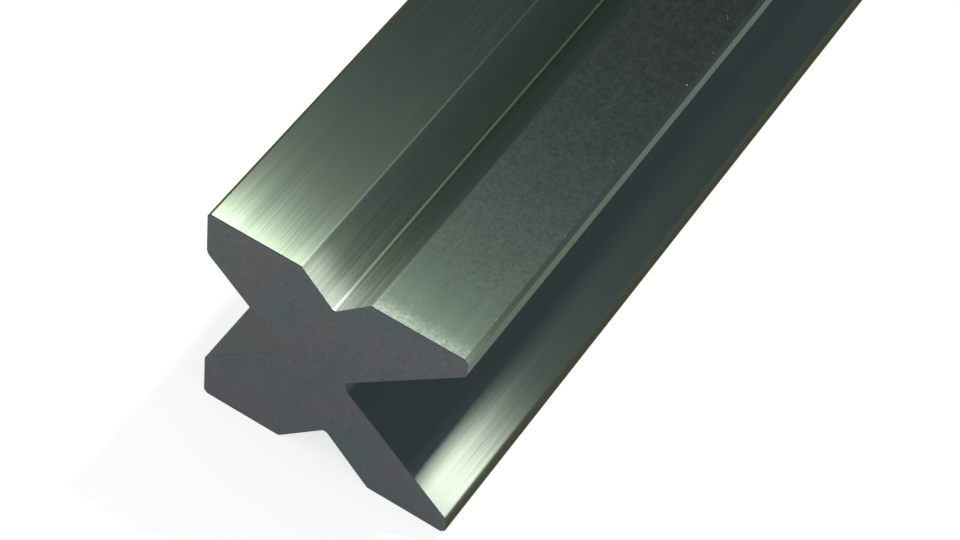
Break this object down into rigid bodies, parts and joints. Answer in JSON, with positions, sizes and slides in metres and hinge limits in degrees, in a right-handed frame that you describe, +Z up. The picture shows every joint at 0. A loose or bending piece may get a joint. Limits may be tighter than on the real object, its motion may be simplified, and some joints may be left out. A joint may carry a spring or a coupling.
{
  "type": "press brake v die",
  "caption": "Square steel bending die for a press brake, with a V groove of a different opening ground along each long side.",
  "frame": {"origin": "middle of the bottom side, the side with the 22 mm V, at half the length", "axes": "+Y along the die's length, +Z up through the side with the 16 mm V, +X through the side with the 50 mm V"},
  "size_m": [0.06, 0.415, 0.06],
  "materials": {
    "ground_steel": "ground along the length, ends matt"
  },
  "bodies": {
    "root": {"die_block": "ground_steel"}
  },
  "joints": []
}
